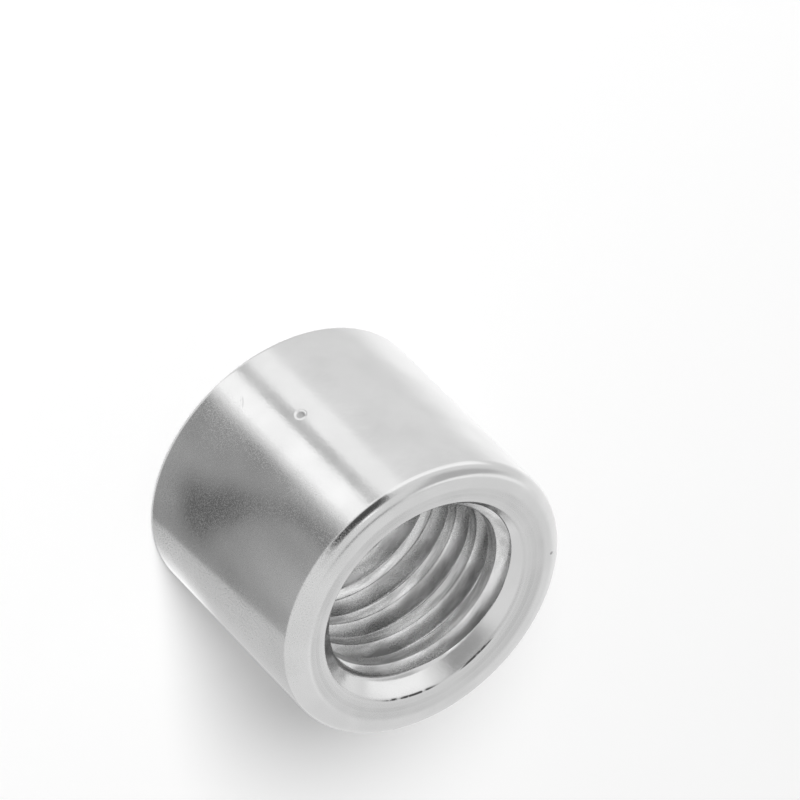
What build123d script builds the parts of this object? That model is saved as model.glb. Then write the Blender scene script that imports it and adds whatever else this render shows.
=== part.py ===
from build123d import *
from math import radians, tan
import os

# Round coupling nut: a short turned sleeve, tapped right through, that joins two threaded rods
# end to end. It stands on its back end with its axis along +Z, and the origin is the centre of
# that end. The front end, with the large rounding, is up. Millimetres and degrees.

# The thread: ISO metric M8 coarse, right-hand. Its form is a V, cut off flat at both ends.
thread_diameter = 8.0
thread_pitch = 1.25
flank_angle = 60.0
root_flat_share = 1 / 8      # flat at the bottom of the groove, as a share of the pitch
drill_allowance = 0.15       # the hole is drilled this much over the thread less one pitch: 6.9

# The turned body.
wall = 1.5                   # metal between the thread's roots and the barrel
nut_length = 9.0
rim_radius = 0.57            # rounding between the barrel and the front face
face_fall = 15.0             # the front face tips down towards the hole by this angle
back_edge_radius = 0.2       # edge break where the nut was cut from the bar

# The countersinks, alike at both ends.
mouth_margin = 0.05          # their edge stands this far outside the thread's roots
countersink_angle = 90.0

# Sizes that follow.
sharp_height = thread_pitch / 2 / tan(radians(flank_angle / 2))
root_radius = thread_diameter / 2
bore_radius = (thread_diameter - thread_pitch + drill_allowance) / 2
outer_radius = root_radius + wall
mouth_radius = root_radius + mouth_margin
countersink_depth = (mouth_radius - bore_radius) / tan(radians(countersink_angle / 2))
rim_rounding = min(rim_radius, wall / 2)

# The tap's tooth is nearly a pitch wide at its inner end, which runs clear inside the hole. It
# starts a pitch below the nut and leaves it above.
tooth_width_share = 0.96
tooth_width = tooth_width_share * thread_pitch
tooth_height = (tooth_width_share - root_flat_share) * sharp_height
tap_start = -thread_pitch
tap_turns = int(nut_length / thread_pitch) + 3

with BuildPart() as coupling_nut:
    # The blank, drilled and countersunk: half of its section, turned about the axis. It goes
    # round the rim, the front face, the front countersink, the hole and the back end.
    with BuildSketch(Plane.XZ):
        with BuildLine():
            rim_centre = (outer_radius - rim_rounding, nut_length - rim_rounding)
            back_edge_centre = (outer_radius - back_edge_radius, back_edge_radius)
            rim = CenterArc(rim_centre, rim_rounding, 0, 90 + face_fall)
            face_width = (rim @ 1).X - mouth_radius
            face = PolarLine(rim @ 1, face_width, direction=rim % 1, length_mode=LengthMode.HORIZONTAL)
            front_mouth = (face @ 1).Y
            back_edge = CenterArc(back_edge_centre, back_edge_radius, -90, 90)
            Polyline(
                face @ 1,
                (bore_radius, front_mouth - countersink_depth),
                (bore_radius, countersink_depth),
                (mouth_radius, 0),
                back_edge @ 0,
            )
            Line(back_edge @ 1, rim @ 0)
        make_face()
    revolve(axis=Axis.Z)

    # The thread: the tooth's section, swept up a helix. The path keeps one edge for each turn,
    # because one long edge of many turns makes a surface that doesn't cut cleanly.
    turns = [
        Helix(
            thread_pitch,
            thread_pitch,
            bore_radius,
            center=(0, 0, tap_start + turn * thread_pitch),
            mode=Mode.PRIVATE,
        )
        for turn in range(tap_turns)
    ]
    with BuildSketch(Plane.XZ):
        with Locations((root_radius - tooth_height / 2, tap_start)):
            Trapezoid(tooth_width, tooth_height, 90 - flank_angle / 2, rotation=-90)
    sweep(path=Wire(turns), is_frenet=True, mode=Mode.SUBTRACT)

coupling_nut.part.label = "coupling_nut"

os.makedirs("parts", exist_ok=True)
export_step(coupling_nut.part, "parts/coupling_nut.step")
print("coupling nut", round(2 * outer_radius, 3), "mm across,", nut_length, "mm long")
print("hole", round(2 * bore_radius, 3), "mm, thread", thread_diameter, "by", thread_pitch, "mm")
print("straight hole", round(front_mouth - 2 * countersink_depth, 3), "mm, faces", len(coupling_nut.faces()))
print("volume", round(coupling_nut.part.volume, 2), "mm3")
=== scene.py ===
# %% [markdown]
# # A round coupling nut in bright nickel
# This is a short turned sleeve with a metric thread right through it. Two threaded rods screw in
# from its two ends and meet inside. It stands on its flat back end, with the rounded front end up.
#
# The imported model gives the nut's true size and place. It is made of flat facets, though, and on
# polished metal each facet would show as a broken reflection. So this script measures the packed
# nut, and builds the same form again with a much finer mesh.

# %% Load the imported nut
from math import cos, exp, radians, sin, tan, tau

import bpy
from mathutils import Matrix, Vector, noise as value_noise


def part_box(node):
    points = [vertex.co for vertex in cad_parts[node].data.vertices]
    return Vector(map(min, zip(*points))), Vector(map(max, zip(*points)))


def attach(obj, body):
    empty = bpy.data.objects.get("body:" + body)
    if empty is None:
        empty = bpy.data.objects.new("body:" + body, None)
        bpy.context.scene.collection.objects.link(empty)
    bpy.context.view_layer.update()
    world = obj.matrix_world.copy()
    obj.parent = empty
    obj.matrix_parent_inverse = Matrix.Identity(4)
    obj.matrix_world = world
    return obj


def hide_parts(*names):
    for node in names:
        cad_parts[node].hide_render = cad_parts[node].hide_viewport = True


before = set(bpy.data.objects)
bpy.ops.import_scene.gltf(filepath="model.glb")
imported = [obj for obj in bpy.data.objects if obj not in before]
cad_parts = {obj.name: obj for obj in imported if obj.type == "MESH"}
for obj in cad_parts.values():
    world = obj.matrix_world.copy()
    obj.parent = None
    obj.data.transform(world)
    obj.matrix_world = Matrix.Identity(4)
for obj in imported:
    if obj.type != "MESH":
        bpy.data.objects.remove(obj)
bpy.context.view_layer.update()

MM = 0.001               # Blender's unit here is the metre, and a nut is measured in millimetres
lowest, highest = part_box("coupling_nut")
outer_radius = (highest.x - lowest.x) / 2
nut_length = highest.z - lowest.z
print("nut", round(2 * outer_radius / MM, 2), "mm across,", round(nut_length / MM, 2), "mm long")

# %% [markdown]
# ## The sizes of the section
# The nut is turned from bar, drilled and tapped, so one half of its section says almost all of it:
# a flat back face, a small edge break, the barrel, the large rounding of the front rim, a front
# face that dips towards the hole, and a countersink at each mouth. The thread is a standard one,
# M8 coarse, so its pitch, its angle and the size of its drilled hole come from the standard.

# %% Sizes of the thread and the turned body
thread_diameter = 8.0 * MM
thread_pitch = 1.25 * MM
drilled_hole = 6.9 * MM
flank_angle = radians(60)       # between the two sides of the groove
groove_floor = thread_pitch / 8  # width of the flat at the bottom of the groove
crest_rounding = 0.07 * MM      # tumbling and plating soften the thread's crests
root_rounding = 0.10 * MM       # and the tap leaves its grooves a little rounded

rim_radius = 0.57 * MM
face_dip = radians(15)          # the front face falls towards the hole
back_edge_radius = 0.2 * MM
mouth_margin = 0.05 * MM        # the mouths stand this far outside the thread's grooves
mouth_edge_radius = 0.08 * MM

root_radius = thread_diameter / 2
crest_radius = drilled_hole / 2
mouth_radius = root_radius + mouth_margin
face_radius = outer_radius - rim_radius - rim_radius * sin(face_dip)   # where the rounding ends
print("groove depth", round((root_radius - crest_radius) / MM, 3), "mm")

# %% [markdown]
# ## A corner of the section, rounded
# A lathe part can be made with the Screw modifier from a drawn edge, or by placing its rings
# directly. The rings are placed here, because each can then carry its exact normal. A polished
# barrel shows every error in its normals as a bend in its reflections.
#
# The section's outline is a line with corners, and each corner is rounded by its own radius. The
# helper walks round one corner and gives the points of its arc. With each point it gives the
# direction that the surface faces, which is the arc's own radius there.

# %% Round a corner
def rounded_corner(before, corner, after, radius, steps):
    """Points of the arc at a corner of the section, each with the direction that it faces."""
    coming = (corner - before).normalized()
    going = (after - corner).normalized()
    turn = coming.angle_signed(going)
    reach = radius * tan(abs(turn) / 2)
    side = 1 if turn > 0 else -1
    across = Vector((coming.y, -coming.x)) * side
    centre = corner - coming * reach + across * radius
    points = []
    for step in range(steps + 1):
        along = turn * step / steps
        facing = Vector((
            -across.x * cos(along) - across.y * sin(along),
            across.x * sin(along) - across.y * cos(along),
        ))
        points.append((centre + facing * radius, facing))
    return points


corner_test = rounded_corner(Vector((0, 0)), Vector((1, 0)), Vector((1, 1)), 0.5, 2)
print("a square corner rounded by 0.5:", [[round(v, 2) for v in point] for point, facing in corner_test])

# %% [markdown]
# ## The outline from mouth to mouth
# It starts at the edge of the back mouth, goes out along the back face, up the barrel, over the
# rim and down the dipped face to the edge of the front mouth. Points are distance from the axis
# and height. The rim turns through the largest arc and is the part that glints most, so it takes
# the most steps.

# %% The profile
def face_height(radius):
    """Height of the dipped front face at a distance from the axis."""
    from_rim_centre = radius - outer_radius + rim_radius
    rise = (rim_radius + from_rim_centre * sin(face_dip)) / cos(face_dip)
    return nut_length - rim_radius + rise


front_mouth = Vector((mouth_radius, face_height(mouth_radius)))
back_mouth = Vector((mouth_radius, 0))
inward = Vector((-1, 0)) * MM
up = Vector((0, 1)) * MM
corners = [
    # corner of the section, its rounding and how many steps the rounding takes
    (back_mouth, mouth_edge_radius, 6),
    (Vector((outer_radius, 0)), back_edge_radius, 10),
    (Vector((outer_radius, face_height(outer_radius))), rim_radius, 28),
    (front_mouth, mouth_edge_radius, 6),
]
path = [back_mouth + inward + up] + [corner[0] for corner in corners] + [front_mouth + inward - up]
profile = []
for number, (corner, rounding, steps) in enumerate(corners):
    profile += rounded_corner(path[number], corner, path[number + 2], rounding, steps)
print("profile of", len(profile), "points, from", [round(v / MM, 3) for v in profile[0][0]], "mm")
print("highest point", round(max(point.y for point, facing in profile) / MM, 3), "mm")

# %% [markdown]
# ## The inside: a thread that really climbs
# A thread could be faked with rings or with a bump texture, but in this nut the mouth is wide
# open to view, and every crest catches the light. So the thread is a true right-hand helix.
#
# The hole's radius at a point is the larger of two forms, the thread and the countersink. Real
# edges are never quite sharp, so where the forms cross they are blended.
#
# The countersinking tool bears on the metal over the first groove and presses it down a little.
# There the groove's upper side is steeper than the others, which the photograph shows.

# %% The thread's radius
def soft_max(a, b, blend):
    """The larger of two lengths, rounded over where they cross."""
    overlap = max(blend - abs(a - b), 0) / blend
    return max(a, b) + overlap * overlap * blend / 4


def soft_min(a, b, blend):
    """The smaller of two lengths, rounded over where they cross."""
    return -soft_max(-a, -b, blend)


def smooth(value, start, full):
    """Goes from 0 to 1 between two values, gently at both ends, whichever of them is larger."""
    share = min(max((value - start) / (full - start), 0), 1)
    return share * share * (3 - 2 * share)


front_seam, back_seam = profile[-1][0], profile[0][0]
cone_rounding = 0.16 * MM       # where the thread runs out into a countersink
pinch = 1.8                     # how much steeper the first groove's upper side was pressed
pinch_start, pinch_end = 1.2 * MM, 2.1 * MM  # it fades out between these depths


def hole_radius(turned, height):
    """Distance of the hole's wall from the axis, at an angle round it and a height."""
    pitches = height / thread_pitch - turned / tau
    from_groove = (pitches - round(pitches)) * thread_pitch
    if from_groove > 0:
        depth_of_groove = nut_length - (height - from_groove)
        from_groove *= 1 + pinch * smooth(depth_of_groove, pinch_end, pinch_start)
    from_groove = abs(from_groove)
    flank = root_radius - (from_groove - groove_floor / 2) / tan(flank_angle / 2)
    thread = soft_max(crest_radius, soft_min(root_radius, flank, root_rounding), crest_rounding)
    front_cone = front_seam.x - (front_seam.y - height)
    back_cone = back_seam.x - (height - back_seam.y)
    return soft_max(thread, max(front_cone, back_cone), cone_rounding)


print("hole", round(2 * hole_radius(0, thread_pitch * 3.5) / MM, 3), "mm at a crest,",
      round(2 * hole_radius(0, thread_pitch * 3) / MM, 3), "mm in a groove")

# %% [markdown]
# ## The pit and the scratch on the barrel
# Nuts that tumble together in the plating barrel knock small pits into each other. The photograph
# shows one pit, about a third of a millimetre across, with a low burr pushed up round it, and one
# short scratch. Both are dents in the barrel's radius, so that they are real in the mesh and not
# only in its shading. A mark that leans is turned on the barrel by its angle.

# %% Marks on the barrel
marks = [
    # degrees round the barrel, height, half length, half width, lean in degrees, depth, steps; mm
    (-16.3, 3.49, 0.19, 0.17, 0, 0.018, 14),
    (-4.6, 1.41, 0.24, 0.045, 35, 0.006, 28),
]
mark_limit = 1.0                # further off than this, in mm, a mark isn't felt
burr_height = 0.10              # of a mark's depth
burr_place = 1.35               # how far out the burr is, where the mark's own edge is 1
burr_narrowness = 4


def barrel_radius(turned, height):
    """Distance of the barrel from the axis, with its marks."""
    sunk = 0
    for place, centre, half_length, half_width, lean, depth, steps in marks:
        aside = (turned - radians(place)) * outer_radius / MM
        along = height / MM - centre
        if abs(aside) + abs(along) > mark_limit:
            continue
        leaning = Vector((along, aside)) @ Matrix.Rotation(radians(lean), 2)
        off = Vector((leaning.x / half_length, leaning.y / half_width)).length
        burr = burr_height * exp(-((off - burr_place) * burr_narrowness) ** 2)
        sunk += depth * (exp(-(off ** 4)) - burr)
    return outer_radius - sunk * MM


pit_degrees, pit_height = marks[0][0], marks[0][1]
pit_floor = barrel_radius(radians(pit_degrees), pit_height * MM)
print("the pit is", round((outer_radius - pit_floor) / MM, 3), "mm deep")

# %% [markdown]
# ## Which way the metal faces
# Where the radius is a formula, the direction that the surface faces follows from it: compare the
# radius a hair's breadth above, below and to both sides. Blender can work out normals from the
# faces instead, but these are exact, and a mirror finish needs that.

# %% The direction that a wall faces
nearby = 0.002 * MM


def facing_at(radius_at, side, turned, height):
    """Which way a nearly round wall faces. The side is 1 where it faces out and -1 where in."""
    nudge = nearby / radius_at(turned, height)
    rise = (radius_at(turned, height + nearby) - radius_at(turned, height - nearby)) / (2 * nearby)
    around = (radius_at(turned + nudge, height) - radius_at(turned - nudge, height)) / (2 * nearby)
    outward = Vector((
        cos(turned) + around * sin(turned),
        sin(turned) - around * cos(turned),
        -rise,
    ))
    return outward.normalized() * side


plain_wall = facing_at(barrel_radius, 1, tau / 4, nut_length / 2)
print("the barrel's side faces", [round(v, 3) for v in plain_wall])

# %% [markdown]
# ## Columns and rings
# The mesh is a grid of columns up the nut and rings round it. A scratch is far narrower than the
# space between even columns, so each mark brings columns and rings of its own, close together.

# %% Where the columns and rings are
even_columns = 200
marked_reach = 1.6              # the extra ones reach this far, in half lengths of the mark
angles = [tau * column / even_columns - tau / 2 for column in range(even_columns)]
mark_heights = []
for place, centre, half_length, half_width, lean, depth, steps in marks:
    reach = marked_reach * half_length
    for step in range(steps + 1):
        off_centre = (2 * step / steps - 1) * reach
        mark_heights.append((centre + off_centre) * MM)
        angles.append(radians(place) + off_centre * MM / outer_radius)
angles = sorted({round(angle, 5) for angle in angles})
columns = len(angles)
print("columns", columns, "rings for the marks", len(mark_heights))

# %% [markdown]
# ## The rings of the outside
# From the back mouth out, up and over to the front mouth, each ring is one point of the profile
# turned round the axis. The barrel between its two roundings is straight and needs no rings but
# those of the marks.

# %% Place the rings
points, facings, faces = [], [], []


def add_point(radius, turned, height, facing):
    """Adds a point of the mesh with the direction that it faces, and gives back its number."""
    points.append((radius * cos(turned), radius * sin(turned), height))
    facings.append(facing)
    return len(points) - 1


below = [ring for ring in profile if ring[0].y < nut_length / 2]
above = [ring for ring in profile if ring[0].y > nut_length / 2]
between = [(Vector((outer_radius, height)), None) for height in sorted(mark_heights)]
rings = below + between + above
for place, facing in rings:
    for turned in angles:
        if facing is None:
            facing_here = facing_at(barrel_radius, 1, turned, place.y)
            add_point(barrel_radius(turned, place.y), turned, place.y, facing_here)
        else:
            facing_here = Vector((facing.x * cos(turned), facing.x * sin(turned), facing.y))
            add_point(place.x, turned, place.y, facing_here)
front_ring = (len(rings) - 1) * columns

for ring in range(len(rings) - 1):
    for column in range(columns):
        here, beside = ring * columns + column, ring * columns + (column + 1) % columns
        faces.append((here, beside, beside + columns, here + columns))
print("outside of", len(rings), "rings and", len(faces), "faces")

# %% [markdown]
# ## The climbing rows of the inside
# The trick of the thread is to let the rows of the mesh climb too. A row starts at some height and
# has risen by exactly one pitch after one turn, where it meets the row that is one pitch further
# up. Along such a row the thread's form never changes, so crests and grooves stay crisp. Forty
# rows to a pitch leave several for each small rounding.
#
# Near each mouth some points of a climbing row would lie past the last ring. Those are simply
# taken as the ring's own points. The rows then run out into the ring, much as a real thread runs
# out at a countersink, and the mesh closes with no gap and no doubled point.

# %% Stitch the thread in
rows_per_pitch = 40
rows_below = rows_per_pitch * 1.5    # the rows start this far under the nut and end above it
rows = rows_per_pitch * (int(nut_length / thread_pitch) + 3)
wall_points = {}


def wall_point(row, column):
    """The number of a point of the threaded wall, or of the mouth's ring where it is past that."""
    if column == columns:
        return wall_point(row + rows_per_pitch, 0)
    turned = angles[column]
    height = thread_pitch * ((row - rows_below) / rows_per_pitch + turned / tau)
    if height <= back_seam.y:
        return column
    if height >= front_seam.y:
        return front_ring + column
    if (row, column) not in wall_points:
        facing = facing_at(hole_radius, -1, turned, height)
        wall_points[row, column] = add_point(hole_radius(turned, height), turned, height, facing)
    return wall_points[row, column]


for row in range(rows):
    for column in range(columns):
        loop = [
            wall_point(row, column),
            wall_point(row + 1, column),
            wall_point(row + 1, column + 1),
            wall_point(row, column + 1),
        ]
        loop = list(dict.fromkeys(loop))
        if len(loop) > 2:
            faces.append(loop)
print("wall of", len(wall_points), "points")

# %% [markdown]
# ## One closed mesh
# Points and faces now go to Blender as one mesh. It is shaded smooth, and its normals are set to
# the exact directions that were collected with the points.

# %% Make the nut's mesh
mesh = bpy.data.meshes.new("coupling_nut_bright")
mesh.from_pydata(points, [], faces)
mesh.shade_smooth()
mesh.normals_split_custom_set_from_vertices(facings)
nut = bpy.data.objects.new("coupling_nut_bright", mesh)
bpy.context.scene.collection.objects.link(nut)
triangles = sum(len(face.vertices) - 2 for face in mesh.polygons)
print("mesh of", len(mesh.vertices), "points and", triangles, "triangles")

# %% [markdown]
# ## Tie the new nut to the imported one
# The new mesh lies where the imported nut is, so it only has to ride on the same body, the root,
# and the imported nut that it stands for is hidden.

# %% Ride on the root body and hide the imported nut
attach(nut, "root")
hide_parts("coupling_nut")
print(nut.name, "stands for coupling_nut")

# %% [markdown]
# ## Helpers for colours and nodes
# Colours are picked as sRGB hex values, as a colour chart gives them, and Blender works in linear
# light, so one function turns the one into the other. A second function adds a node of any kind,
# sets it, links it and gives back its output, which can then feed the next node. So a material
# reads from top to bottom, as a list of steps.

# %% Colour and node helpers
def linear(hex_code):
    """An sRGB hex colour as the linear red, green, blue and alpha that Blender works in."""
    shares = [int(hex_code[start:start + 2], 16) / 255 for start in (1, 3, 5)]
    return [((share + 0.055) / 1.055) ** 2.4 if share > 0.04045 else share / 12.92 for share in shares] + [1]


def node(tree, kind, inputs=(), output=0, **settings):
    """Adds a node with its settings and links, and gives back one of its outputs.

    The inputs are a list in the node's own order, or a dictionary by name or number. Each is a
    value, or the output of an earlier node.
    """
    made = tree.nodes.new(kind)
    for name, value in settings.items():
        setattr(made, name, value)
    by_socket = inputs if isinstance(inputs, dict) else dict(enumerate(inputs))
    for socket, value in by_socket.items():
        if isinstance(value, bpy.types.NodeSocket):
            tree.links.new(value, made.inputs[socket])
        else:
            made.inputs[socket].default_value = value
    return made.outputs[output] if len(made.outputs) else None


MATH = "ShaderNodeMath"
VECTOR = "ShaderNodeVectorMath"
NOISE = "ShaderNodeTexNoise"
RANGE = "ShaderNodeMapRange"
MIX = "ShaderNodeMix"
SMOOTH = "SMOOTHSTEP"
in_colour = {"output": 2, "data_type": "RGBA"}   # a Mix node set to colours, and its output
print("a mid grey of #808080 is", round(linear("#808080")[0], 3), "in linear light")

# %% [markdown]
# ## Bright nickel plate on turned, tumbled steel
# Bright nickel is a thin electroplated coat that levels the metal under it and comes out of the
# bath shiny. Small nuts are plated by the hundred in a tumbling barrel, so they leave it with a
# faint orange peel, fine scuffs and a few pits from knocking together.
#
# What that gives the eye: a metal of pale silver, reflections that are clear but a little soft,
# edges of reflections that waver, and a fine grain where it reflects something dark. The thread
# is duller and patchy, because less nickel settles in a deep hole. The front face is a little
# duller than the barrel and shows faint rings, left by the lathe tool and by wear.
#
# The finish changes from place to place, so the first step is to find out where on the nut a
# point is. Masks could be painted by hand, but on a turned part the distance from the axis and
# the height say it all.

# %% Where on the nut a point is
plating = bpy.data.materials.new("bright_nickel_plate")
plating.use_nodes = True
nickel = plating.node_tree
nickel.nodes.clear()

point = node(nickel, "ShaderNodeTexCoord", output="Object")
in_mm = node(nickel, VECTOR, {0: point, "Scale": 1 / MM}, operation="SCALE")
sideways = node(nickel, VECTOR, [in_mm, (1, 1, 0)], operation="MULTIPLY")
from_axis = node(nickel, VECTOR, [sideways], output="Value", operation="LENGTH")
height_mm = node(nickel, "ShaderNodeSeparateXYZ", [in_mm], output="Z")

mouth_mm = mouth_radius / MM
mouth_height_mm = front_mouth.y / MM
face_mm = face_radius / MM
top_mm = nut_length / MM
print("the face reaches from", round(mouth_mm, 2), "to", round(face_mm, 2), "mm from the axis")

# %% [markdown]
# ### Which part of the nut it is
# Three masks follow from those two measures: the thread, the front face and the top with its
# rim. Each is 1 on its part and 0 elsewhere, with a soft edge of one or two tenths of a millimetre,
# because a finish never stops dead.

# %% Masks for the thread, the face and the top
# Each fade is where the mask starts and where it is full, in mm.
thread_fade = (0.03, 0.15)      # past the countersinks
face_fade = 0.08                # below the edge of the front mouth
rim_fade = (0.1, -0.15)         # outside and inside the end of the rim's rounding
top_fade = (-0.45, -0.25)       # below the top of the nut

# The thread's grooves: inside the hole, and past both countersinks, which lean at 45 degrees.
inside = node(nickel, RANGE, [from_axis, mouth_mm, root_radius / MM], interpolation_type=SMOOTH)
off_mouth = node(nickel, MATH, [from_axis, mouth_mm], operation="SUBTRACT")
under_front = node(nickel, MATH, [mouth_height_mm, height_mm], operation="SUBTRACT")
under_front = node(nickel, MATH, [under_front, off_mouth], operation="ADD")
over_back = node(nickel, MATH, [height_mm, off_mouth], operation="ADD")
past_cones = node(nickel, MATH, [under_front, over_back], operation="MINIMUM")
past_cones = node(nickel, RANGE, [past_cones, *thread_fade], interpolation_type=SMOOTH)
in_thread = node(nickel, MATH, [inside, past_cones], operation="MULTIPLY")

# The front face, and the top of the nut with the rim.
up_here = [height_mm, mouth_height_mm - face_fade, mouth_height_mm]
up_here = node(nickel, RANGE, up_here, interpolation_type=SMOOTH)
within_rim = [from_axis, face_mm + rim_fade[0], face_mm + rim_fade[1]]
within_rim = node(nickel, RANGE, within_rim, interpolation_type=SMOOTH)
on_face = node(nickel, MATH, [within_rim, up_here], operation="MULTIPLY")
near_top = [height_mm, top_mm + top_fade[0], top_mm + top_fade[1]]
near_top = node(nickel, RANGE, near_top, interpolation_type=SMOOTH)
print("the rim's finish starts", -top_fade[0], "mm under the top")

# %% [markdown]
# ### The patterns and their real sizes
# Each texture takes its scale from a real size in millimetres. The large ones vary over two or
# three millimetres, a quarter of the nut. The worn rings are some four tenths of a millimetre
# apart, and the lathe tool's own marks a tenth, which is a usual feed. A pattern is a noise, and
# the part of it between two levels is stretched from 0 to 1, or between two other values.
#
# Two kinds of marks run round the nut. The rings that the lathe tool left come from a noise that
# reads only the distance from the axis and the height, so it turns by itself from rings round the
# barrel to circles on the front face. The patches in the thread are drawn out along the groove,
# because the tap and the rods rub that way: their noise reads a space that is squeezed sideways
# and stretched in height.
#
# Real plating grain is a few thousandths of a millimetre. That is far too fine to show, so the
# specks and the grain are drawn about as coarse as one or two pixels of the picture.

# %% Noise patterns
around = node(nickel, "ShaderNodeCombineXYZ", [from_axis, height_mm])
along_thread = node(nickel, VECTOR, [in_mm, (0.45, 0.45, 2.8)], operation="MULTIPLY")
patterns = {
    # what it reads, size in mm, detail, roughness, the noise from and to, and what they give
    "polish": (in_mm, 2.2, 3, 0.5, 0.35, 0.65, 0.09, 0.15),
    "specks": (in_mm, 0.05, 2, 0.7, 0.38, 0.66, 0.0, 1.0),
    "cloud": (in_mm, 2.5, 3, 0.5, 0.35, 0.65, 0.0, 1.0),
    "worn rings": (around, 0.42, 3, 0.5, 0.36, 0.64, 0.0, 1.0),
    "worn parts": (in_mm, 2.4, 2, 0.5, 0.30, 0.65, 0.35, 1.0),
    "thread patches": (along_thread, 0.9, 3, 0.5, 0.36, 0.64, 0.0, 1.0),
    "gaps in painted line": (in_mm, 0.35, 3, 0.5, 0.36, 0.54, 0.0, 1.0),
}
pattern = {}
for name, (reads, size, detail, harshness, low, high, at_low, at_high) in patterns.items():
    waves = {"Vector": reads, "Scale": 1 / size, "Detail": detail, "Roughness": harshness}
    wave = node(nickel, NOISE, waves)
    pattern[name] = node(nickel, RANGE, [wave, low, high, at_low, at_high], interpolation_type=SMOOTH)
print("patterns:", ", ".join(pattern))

# %% [markdown]
# ### The relief
# Four reliefs are added up, with heights in micrometres: the orange peel of the bath, scuffs from
# tumbling, a fine grain that is rougher in the thread, and the lathe tool's rings. They are far
# too low to see in the outline, so a Bump node is enough for them.

# %% Relief in micrometres
grain_outside, grain_more = 0.6, 2.6    # micrometres, and how much more in the thread
grain_height = node(nickel, MATH, [in_thread, grain_more, grain_outside], operation="MULTIPLY_ADD")
reliefs = [
    # what the noise reads, size in mm, detail, roughness, height in micrometres
    (in_mm, 0.7, 1, 0.5, 3.0),
    (in_mm, 0.16, 2, 0.5, 1.6),
    (in_mm, 0.045, 2, 0.6, grain_height),
    (around, 0.09, 3, 0.6, 0.35),
]
relief = 0.0
for reads, size, detail, harshness, micrometres in reliefs:
    waves = {"Vector": reads, "Scale": 1 / size, "Detail": detail, "Roughness": harshness}
    wave = node(nickel, NOISE, waves)
    relief = node(nickel, MATH, [wave, micrometres, relief], operation="MULTIPLY_ADD")
bumped = node(nickel, "ShaderNodeBump", {"Height": relief, "Strength": 1.0, "Distance": 0.001 * MM})
print("reliefs", len(reliefs))

# %% [markdown]
# ### How dull it is
# Polished nickel has a roughness near 0.1, which is where it starts. It is duller in the thread, a
# little duller on the face and the rim, and duller still in fine specks. The photograph shows the
# specks on one side of the barrel and in the thread, and hardly elsewhere.

# %% Roughness
grainy_side = radians(35)       # round the barrel
thread_share = 0.5              # how grainy the thread is, against that side
speck_everywhere, speck_more = 0.05, 0.20    # roughness in a speck, and how much more where it is grainy
outwards = (cos(grainy_side), sin(grainy_side), 0)
towards_side = node(nickel, VECTOR, [in_mm, outwards], output="Value", operation="DOT_PRODUCT")
grain_start, grain_full = 0.74 * outer_radius / MM, 0.88 * outer_radius / MM
on_side = node(nickel, RANGE, [towards_side, grain_start, grain_full], interpolation_type=SMOOTH)
grainy_thread = node(nickel, MATH, [in_thread, thread_share], operation="MULTIPLY")
grainy = node(nickel, MATH, [grainy_thread, on_side], operation="MAXIMUM")
speck_dullness = node(nickel, MATH, [grainy, speck_more, speck_everywhere], operation="MULTIPLY_ADD")
duller = [
    # where, and how much is added there
    (in_thread, 0.14),
    (on_face, 0.05),
    (near_top, 0.06),
    (pattern["specks"], speck_dullness),
]
roughness = pattern["polish"]
for where, added in duller:
    roughness = node(nickel, MATH, [where, added, roughness], operation="MULTIPLY_ADD")
print("roughness starts at 0.09 to 0.15, with", len(duller), "additions")

# %% [markdown]
# ### The colour
# Nickel is a pale silver, nearly neutral. It is a shade darker in the worn rings of the face. In
# the thread it runs from bare, darker metal to bright patches that the tap left clean.

# %% Colour of the plate
worn = node(nickel, MATH, [pattern["worn rings"], pattern["worn parts"]], operation="MULTIPLY")
worn = node(nickel, MATH, [worn, on_face], operation="MULTIPLY")
silver = {0: pattern["cloud"], 6: linear("#DCDCDC"), 7: linear("#E3E3E3")}
silver = node(nickel, MIX, silver, **in_colour)
silver = node(nickel, MIX, {0: worn, 6: silver, 7: linear("#C6C6C6")}, **in_colour)
thread_metal = {0: pattern["thread patches"], 6: linear("#C0C0C0"), 7: linear("#F8F8F8")}
thread_metal = node(nickel, MIX, thread_metal, **in_colour)
plate = node(nickel, MIX, {0: in_thread, 6: silver, 7: thread_metal}, **in_colour)
print("nickel from", round(linear("#DCDCDC")[0], 2), "to", round(linear("#E3E3E3")[0], 2), "in linear light")

# %% [markdown]
# ### Painted dark reflections and broken plate
# Two thin broken dark lines in the sharp corner of the front mouth are a painted reflection: the
# dark that the edge's rounding mirrors there, painted into the plate's colour. Each is a stretch
# of that edge, so it is found by its distance from the edge and by its direction from the axis.
# The floor of the pit is grey and dull where the plate is broken, and so is one small speck on the rim.

# %% Painted dark lines and grey spots
# Painted reflection: two dark arcs along the front mouth's edge. They stop under the front mouth, so the
# back mouth gets none.
painted_dark_arcs = [(138, 17), (179, 10)]  # degrees round the front mouth, and to each side
painted_line_edge, painted_line_core = 0.045, 0.015   # mm off the mouth's edge where it ends and where it is full
painted_line_strength = 1.6
line_end = 0.02                 # mm over which a line comes in at its ends
painted_line_stop = (-0.18, -0.08)    # mm under the front mouth, so that the back mouth stays clean
spot_core = 0.6                 # share of a spot that is fully grey
off_edge = node(nickel, MATH, [off_mouth], operation="ABSOLUTE")
on_edge = node(nickel, RANGE, [off_edge, painted_line_edge, painted_line_core], interpolation_type=SMOOTH)
in_front = [height_mm, mouth_height_mm + painted_line_stop[0], mouth_height_mm + painted_line_stop[1]]
in_front = node(nickel, RANGE, in_front, interpolation_type=SMOOTH)
on_edge = node(nickel, MATH, [on_edge, in_front], operation="MULTIPLY")
on_edge = node(nickel, MATH, [on_edge, pattern["gaps in painted line"]], operation="MULTIPLY")
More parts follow.
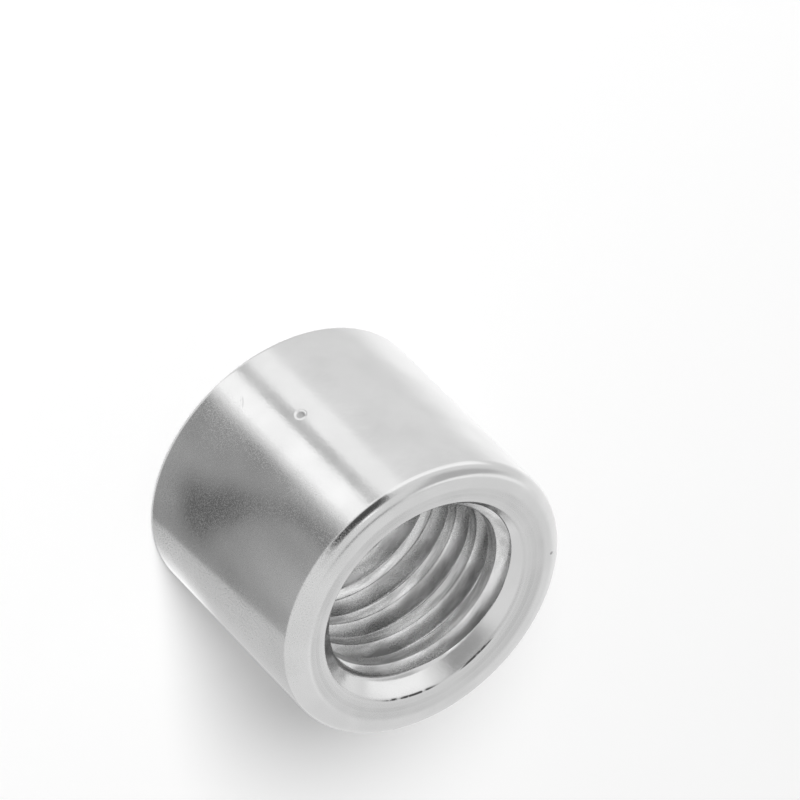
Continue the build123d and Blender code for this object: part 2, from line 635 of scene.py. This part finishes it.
# Each arc mixes a painted dark reflection into the plate's colour.
for turned, half_angle in painted_dark_arcs:
    aim = (cos(radians(turned)), sin(radians(turned)), 0)
    towards_aim = node(nickel, VECTOR, [in_mm, aim], output="Value", operation="DOT_PRODUCT")
    end_of_line = mouth_mm * cos(radians(half_angle))
    there = [towards_aim, end_of_line - line_end, mouth_mm]
    there = node(nickel, RANGE, there, interpolation_type=SMOOTH)
    there = node(nickel, MATH, [there, on_edge], operation="MULTIPLY")
    there = node(nickel, MATH, [there, painted_line_strength], operation="MULTIPLY", use_clamp=True)
    plate = node(nickel, MIX, {0: there, 6: plate, 7: linear("#5A5A5A")}, **in_colour)

broken = [
    # degrees round the axis, distance from it, height and size of each broken place; mm
    (pit_degrees, outer_radius / MM, pit_height, 0.19),
    (-123.5, 5.0, 9.0, 0.08),
]
for turned, out, up_there, size in broken:
    centre = (out * cos(radians(turned)), out * sin(radians(turned)), up_there)
    off = node(nickel, VECTOR, [in_mm, centre], output="Value", operation="DISTANCE")
    there = node(nickel, RANGE, [off, size, size * spot_core], interpolation_type=SMOOTH)
    plate = node(nickel, MIX, {0: there, 6: plate, 7: linear("#B0B0B0")}, **in_colour)
print("painted dark lines", len(painted_dark_arcs), "and broken places", len(broken))

# %% [markdown]
# ### Put the finish together
# All of it feeds one Principled shader, as a pure metal with the default IOR.

# %% The nickel shader
shader = {"Base Color": plate, "Metallic": 1.0, "Roughness": roughness, "Normal": bumped}
shader = node(nickel, "ShaderNodeBsdfPrincipled", shader)
node(nickel, "ShaderNodeOutputMaterial", {"Surface": shader})
nut.data.materials.append(plating)
print("nickel made of", len(nickel.nodes), "nodes")

# %% [markdown]
# ## The camera
# The photograph was taken from well back with a long lens, so its lines hardly converge. The
# camera looks down the front mouth from about 50 degrees off the nut's axis. It is also rolled,
# because in the photograph the nut lies on its side, and here it stands on its back end.
#
# A thread starts somewhere, and turning round the nut's axis makes it climb or sink. This one
# starts so that its crests show in the right places when the camera is straight over the X axis.

# %% Camera position from the photograph
off_axis = radians(50.38)       # between the nut's axis and the line to the camera
roll = radians(134.7)
distance = 49.25 * outer_radius
aside = 0.2707 * outer_radius   # the nut is left of the middle of the picture
above_nut = 0.8183 * outer_radius   # and below it
lens, picture_width = 357, 36   # both in millimetres

backward = Vector((sin(off_axis), 0, cos(off_axis)))
level_side = Vector((0, 1, 0))
upward = backward.cross(level_side)
right = level_side * cos(roll) + upward * sin(roll)
top = upward * cos(roll) - level_side * sin(roll)

camera = bpy.data.objects.new("camera", bpy.data.cameras.new("camera"))
camera.data.lens = lens
camera.data.sensor_width = picture_width
camera.data.clip_start = 0.01
middle = Vector((0, 0, nut_length / 2))
camera.location = middle + backward * distance + right * aside + top * above_nut
camera.rotation_mode = "QUATERNION"
axes = [[right[row], top[row], backward[row]] for row in range(3)]
camera.rotation_quaternion = Matrix(axes).to_quaternion()
bpy.context.scene.collection.objects.link(camera)
bpy.context.scene.camera = camera
print("camera", [round(v, 3) for v in camera.location], "m")

# %% [markdown]
# ## The floor
# A sheet of white paper, much larger than the picture. It is left out of the nut's reflections,
# where the studio below takes its place, because the floor here meets the nut's end, and in the
# photograph it runs along its side.
#
# White paper under a plain light renders a little grey, so it glows faintly for the camera alone.
# The light on the nut stays as it is, and the paper keeps its shadow.

# %% White paper floor
floor_size = 3.0                # metres
paper_lift = 0.11
half = floor_size / 2
floor_corners = [(-half, -half, 0), (half, -half, 0), (half, half, 0), (-half, half, 0)]
floor_mesh = bpy.data.meshes.new("paper_floor")
floor_mesh.from_pydata(floor_corners, [], [(0, 1, 2, 3)])
floor = bpy.data.objects.new("paper_floor", floor_mesh)
bpy.context.scene.collection.objects.link(floor)
floor.visible_glossy = False
paper = bpy.data.materials.new("white_paper")
paper.use_nodes = True
sheet = paper.node_tree
surface = sheet.nodes["Principled BSDF"]
surface.inputs["Base Color"].default_value = linear("#F7F7F7")
surface.inputs["Roughness"].default_value = 0.8
surface.inputs["Emission Color"].default_value = linear("#FFFFFF")
seen = node(sheet, "ShaderNodeLightPath", output="Is Camera Ray")
glow = node(sheet, MATH, [seen, paper_lift], operation="MULTIPLY")
sheet.links.new(glow, surface.inputs["Emission Strength"])
floor_mesh.materials.append(paper)
print("paper floor", floor_size, "m wide")

# %% [markdown]
# ## The light
# One large soft lamp stands for the softbox beside the table, and it throws the soft shadow. The
# rest comes from all round, as in a tent of white cloth. The lamp itself doesn't show in the
# metal, because the studio below has its own bright parts where the photograph shows them.

# %% Softbox
lamp_azimuth = radians(-16)
lamp_height = radians(40)
lamp_distance = 0.6             # metres
softbox = bpy.data.objects.new("softbox", bpy.data.lights.new("softbox", "AREA"))
softbox.data.shape = "DISK"
softbox.data.size = 0.24        # metres
softbox.data.energy = 3.49      # watts
softbox.visible_glossy = False
towards = Vector((
    cos(lamp_height) * cos(lamp_azimuth),
    cos(lamp_height) * sin(lamp_azimuth),
    sin(lamp_height),
))
softbox.location = towards * lamp_distance
softbox.rotation_mode = "QUATERNION"
softbox.rotation_quaternion = towards.to_track_quat("Z", "Y")
bpy.context.scene.collection.objects.link(softbox)
print("softbox", [round(v, 2) for v in softbox.location], "m")

# %% [markdown]
# ## The studio that the metal shows
# Polished metal is only as good as what it reflects. The studio is written into the world by
# direction: a white tent, with a few darker and lighter parts. Each part is a patch of the sky,
# so many degrees wide and high, with soft edges, and each is laid over the ones before it. The
# darkest is a gap under the camera, which draws the black line along the rim.
#
# A picture of a studio wrapped round the scene would also do, but patches need no file, and each
# can be moved until the bands on the barrel fall where the photograph shows them.

# %% The tent's patches
tent_tone = 0.84                # of the plain cloth, where 1 is white
patches = [
    # tone, azimuth, half width, lowest, highest, softness; degrees, with the camera's side at 0
    (0.98, -152, 20, -90, 30, 10),
    (0.55, -90, 28, 14, 66, 8),
    (1.22, -68, 38, -38, -10, 6),
    (1.15, -10, 16, -38, -24, 3),
    (0.08, -7, 24, -20, 25, 2),
    (1.80, -14, 8, 30, 36, 2),
    (1.16, -150, 34, -90, -36, 24),
    (0.78, -86, 32, -90, -36, 20),
    (1.12, -40, 10, -90, -35, 4),
    (0.62, -25, 5, -90, -35, 3),
    (1.24, -11, 10, -90, -33, 2),
    (0.70, 128, 50, -54, -35, 4),
]
darkest = min(patches)
print("patches", len(patches), "and the darkest at azimuth", darkest[1])

# %% [markdown]
# ## Directions in the tent
# A world shader gets the direction of each ray. Its height gives the elevation, and what is left
# when the height is taken away gives the heading. A patch is where the elevation lies between
# two limits and the heading is near the patch's own.

# %% Lay the patches over the tent
world = bpy.data.worlds.new("white_tent")
bpy.context.scene.world = world
world.use_nodes = True
sky = world.node_tree
sky.nodes.clear()
direction = node(sky, "ShaderNodeTexCoord", output="Generated")
rise = node(sky, "ShaderNodeSeparateXYZ", [direction], output="Z")
elevation = node(sky, MATH, [rise], operation="ARCSINE")
elevation = node(sky, MATH, [elevation], operation="DEGREES")
heading = node(sky, VECTOR, [direction, (1, 1, 0)], operation="MULTIPLY")
heading = node(sky, VECTOR, [heading], operation="NORMALIZE")

mirrored = tent_tone
for patch_tone, azimuth, half_width, low, high, soft in patches:
    aim = (cos(radians(azimuth)), sin(radians(azimuth)), 0)
    off = node(sky, VECTOR, [heading, aim], output="Value", operation="DOT_PRODUCT")
    off = node(sky, MATH, [off], operation="ARCCOSINE")
    off = node(sky, MATH, [off], operation="DEGREES")
    edges = [
        [elevation, low - soft, low + soft],
        [elevation, high + soft, high - soft],
        [off, half_width + soft, half_width - soft],
    ]
    share = 1.0
    for edge in edges:
        within = node(sky, RANGE, edge, interpolation_type=SMOOTH)
        share = node(sky, MATH, [share, within], operation="MULTIPLY")
    step = node(sky, MATH, [patch_tone, mirrored], operation="SUBTRACT")
    mirrored = node(sky, MATH, [share, step, mirrored], operation="MULTIPLY_ADD")
print("nodes for the patches", len(sky.nodes))

# %% [markdown]
# ## What each kind of ray finds
# As a light, the tent is even and rather low, so that the lamp's shadow shows. Metal sees the
# tent with its patches. The camera, where it looks past the floor, sees plain white.

# %% The tent for light, metal and camera
room_level = 0.34               # how bright the tent is as a light
strength = room_level
for ray, tone_seen in [("Is Glossy Ray", mirrored), ("Is Camera Ray", 1.0)]:
    share = node(sky, "ShaderNodeLightPath", output=ray)
    step = node(sky, MATH, [tone_seen, strength], operation="SUBTRACT")
    strength = node(sky, MATH, [share, step, strength], operation="MULTIPLY_ADD")
tent = node(sky, "ShaderNodeBackground", {"Color": linear("#FFFFFF"), "Strength": strength})
node(sky, "ShaderNodeOutputWorld", {"Surface": tent})
print("tent made of", len(sky.nodes), "nodes")

# %% [markdown]
# ## Cards close to the nut
# What is far away shows the same at every height of a straight barrel. The darkest reflection in
# the photograph leans and has a darker arm across it, so it comes from something close by. Here
# that is a grey card beside the barrel. A second, narrow one stands over the front mouth and
# gives the countersink its bright stretch and its dark one. Only the metal sees the cards.
#
# To put a card where a reflection has to show, work backwards. Take the point of the nut where
# it should show, mirror the line from the camera there, and go out along it. A card is a grid of
# such points, with a tone at each.

# %% A card from mirrored points
def mirrored_place(place, facing, reach):
    """A point that the camera sees mirrored at a place of the nut, so far away from it."""
    to_camera = (camera.location - place).normalized()
    return place + (2 * facing.dot(to_camera) * facing - to_camera) * reach


def add_card(name, places, tones, across):
    """A card with so many points across, which glows with a tone at each and shows in metal only."""
    squares = [
        (corner, corner + 1, corner + across + 1, corner + across)
        for corner in range(len(places) - across)
        if (corner + 1) % across
    ]
    card_mesh = bpy.data.meshes.new(name)
    card_mesh.from_pydata(places, [], squares)
    card_mesh.attributes.new("tone", "FLOAT", "POINT").data.foreach_set("value", tones)
    card = bpy.data.objects.new(name, card_mesh)
    bpy.context.scene.collection.objects.link(card)
    card.visible_camera = False
    card.visible_diffuse = False
    card.visible_shadow = False
    material = bpy.data.materials.new(name)
    material.use_nodes = True
    tree = material.node_tree
    tree.nodes.clear()
    tone_there = node(tree, "ShaderNodeAttribute", output="Fac", attribute_name="tone")
    card_glow = node(tree, "ShaderNodeEmission", {"Strength": tone_there})
    node(tree, "ShaderNodeOutputMaterial", {"Surface": card_glow})
    card_mesh.materials.append(material)
    print(name, "of", len(squares), "squares, tones", round(min(tones), 2), "to", round(max(tones), 2))


ahead = mirrored_place(Vector((outer_radius, 0, 0)), Vector((1, 0, 0)), outer_radius)
print("the barrel nearest the camera mirrors a point at", [round(v / MM, 1) for v in ahead], "mm")

# %% [markdown]
# ## The tones of the grey card
# The card is described in the nut's own terms: degrees round the barrel and height on it, where
# it shows. It is mid grey, lighter towards the front and darker towards the back. A dark arm
# crosses it as a chain of short pieces that widens and darkens as it goes. Beyond the card's
# slanting edge is the table next to the nut, which is lighter.

# %% The dark arm
arm = [
    # degrees round the barrel, height in mm, half width in degrees, tone
    (7.5, 9.0, 5, 0.27),
    (9.5, 6.8, 5, 0.24),
    (13, 5.8, 6, 0.22),
    (19, 4.8, 7, 0.19),
    (27, 3.7, 12, 0.15),
    (36, 2.6, 18, 0.13),
]
arm_soft = (1.05, 0.2)          # of its half width, from nothing to full
mm_per_degree = outer_radius / MM * radians(1)


def arm_cover(degrees_round, height_there, ragged):
    """How much the dark arm covers a point of the card, and the arm's tone there."""
    most, tone = 0, 0
    for (round_here, up_here, wide, dark), (round_next, up_next, wider, darker) in zip(arm, arm[1:]):
        piece = Vector((round_next - round_here, (up_next - up_here) / mm_per_degree))
        to_point = Vector((degrees_round - round_here, (height_there - up_here) / mm_per_degree))
        share = min(max(to_point.dot(piece) / piece.length_squared, 0), 1)
        off = (to_point - piece * share).length / (wide + (wider - wide) * share)
        covers = smooth(off + ragged, *arm_soft)
        if covers > most:
            most, tone = covers, dark + (darker - dark) * share
    return most, tone


print("the arm at 30 degrees round and 3 mm up:", [round(v, 2) for v in arm_cover(30, 3, 0)])

# %% [markdown]
# ## The whole card's tone
# A few soft changes are added to a plain grey, and the arm is laid over it where it is darker.
# Noise makes the tone wander a little, so that it looks like a room and not like a ramp.

# %% How light the grey card is
card_grey = 0.39
card_start = -2                 # degrees round the barrel
card_fade = 6                   # degrees over which the card comes in
tent_beside = 1.05              # tone beside its start
wander = 0.05
wander_round, wander_up = 9, 1.1    # degrees and mm
noise_plane = 3                 # which slice of the noise is read
shades = [
    # change of tone, where it starts and is full in height, and the same round the barrel
    (0.09, (5, 8), (18, 30)),
    (-0.05, (5, 3), (24, 14)),
]
darker_edge = 0.07              # and this much darker next to its far edge
edge_fade = (-14, -4)           # degrees before that edge
table_tone = 0.66
table_shades = [(0.50, (4.2, 1.5), (62, 84))]
arm_ragged = 0.15               # how much the noise shifts the arm's edge


def shaded(tone, shades_there, degrees_round, height_there):
    """A tone with the changes of a list of shades added."""
    for change, (low, high), (near, far) in shades_there:
        tone += change * smooth(height_there, low, high) * smooth(degrees_round, near, far)
    return tone


def card_tone(degrees_round, height_there, end):
    """How light the card is, where it shows at an angle and a height of the barrel."""
    if degrees_round > end:
        return shaded(table_tone, table_shades, degrees_round, height_there)
    noise_place = Vector((degrees_round / wander_round, height_there / wander_up, noise_plane))
    wanders = value_noise.noise(noise_place)
    tone = shaded(card_grey + wander * wanders, shades, degrees_round, height_there)
    tone += (tent_beside - tone) * smooth(degrees_round, card_start + card_fade, card_start)
    tone -= darker_edge * smooth(degrees_round, end + edge_fade[0], end + edge_fade[1])
    cover, arm_tone = arm_cover(degrees_round, height_there, arm_ragged * wanders)
    return tone + (min(arm_tone, tone) - tone) * cover


print("tone at the card's middle", round(card_tone(30, 7, 50), 2),
      "and in its arm", round(card_tone(30, 3, 50), 2))

# %% [markdown]
# ## The grey card beside the barrel
# Its far edge slants from the nut's front to its back, as the dark reflection does. The grid is
# laid out over the barrel, a little past both ends, and each point is sent out to its place.

# %% Place the grey card
card_end_front, card_end_back, past_card = 47, 56.5, 92   # degrees round the barrel
card_reach = 1.6 * outer_radius
card_rows = 48
past_ends = 0.15                # of the nut's length, past each end
card_steps, table_steps = 72, 30
sharp_edge = 0.3                # degrees between the card and the table beyond it
places, tones = [], []
for row in range(card_rows + 1):
    height = nut_length * ((1 + 2 * past_ends) * row / card_rows - past_ends)
    end = card_end_back + (card_end_front - card_end_back) * height / nut_length
    stops = [card_start + (end - card_start) * step / card_steps for step in range(card_steps + 1)]
    stops += [end + sharp_edge + (past_card - end) * step / table_steps for step in range(table_steps + 1)]
    for stop in stops:
        facing = Vector((cos(radians(stop)), sin(radians(stop)), 0))
        place = facing * outer_radius + Vector((0, 0, height))
        places.append(mirrored_place(place, facing, card_reach))
        tones.append(card_tone(stop, height / MM, end))
add_card("grey_card", places, tones, len(stops))

# %% [markdown]
# ## The narrow card over the mouth
# The countersink is a cone, so its reflections run down it in straight stretches: one bright, one
# dark, with soft ends. This card is laid out over the cone and past both of its edges, and each
# tone holds for a range of degrees round the mouth.

# %% Place the mouth card
cone_width = 0.55 * MM          # from the mouth's edge to the thread, seen along the axis
cone_past, cone_before = 3, 2   # the card reaches this many widths inward and outward
mouth_start, mouth_span = 108, 90   # degrees round the mouth
mouth_rows, mouth_steps = 12, 55
mouth_reach = 3.6 * outer_radius
mouth_tone = 0.80
stretches = [
    # change of tone, where it starts and is full, where it starts to fade and is gone; degrees
    (0.32, 108, 118, 146, 160),
    (-0.44, 158, 168, 184, 197),
]
places, tones = [], []
for row in range(mouth_rows + 1):
    across_cone = (row / mouth_rows * (cone_past + cone_before) - cone_before) * cone_width
    for step in range(mouth_steps + 1):
        degrees_round = mouth_start + mouth_span * step / mouth_steps
        turned = radians(degrees_round)
        facing = Vector((-cos(turned), -sin(turned), 1)).normalized()
        radius = mouth_radius - across_cone
        place = Vector((radius * cos(turned), radius * sin(turned), front_mouth.y - across_cone))
        places.append(mirrored_place(place, facing, mouth_reach))
        tone = mouth_tone
        for change, start, full, fading, gone in stretches:
            tone += change * smooth(degrees_round, start, full) * smooth(degrees_round, gone, fading)
        tones.append(tone)
add_card("mouth_card", places, tones, mouth_steps + 1)

# %% [markdown]
# ## Finish
# The render keeps plain colours, with no film look. The new mesh takes the imported nut's place.
# It is larger only by the few thousandths of a millimetre that the flat facets cut off the circle.

# %% Finish
bpy.context.scene.view_settings.view_transform = "Standard"
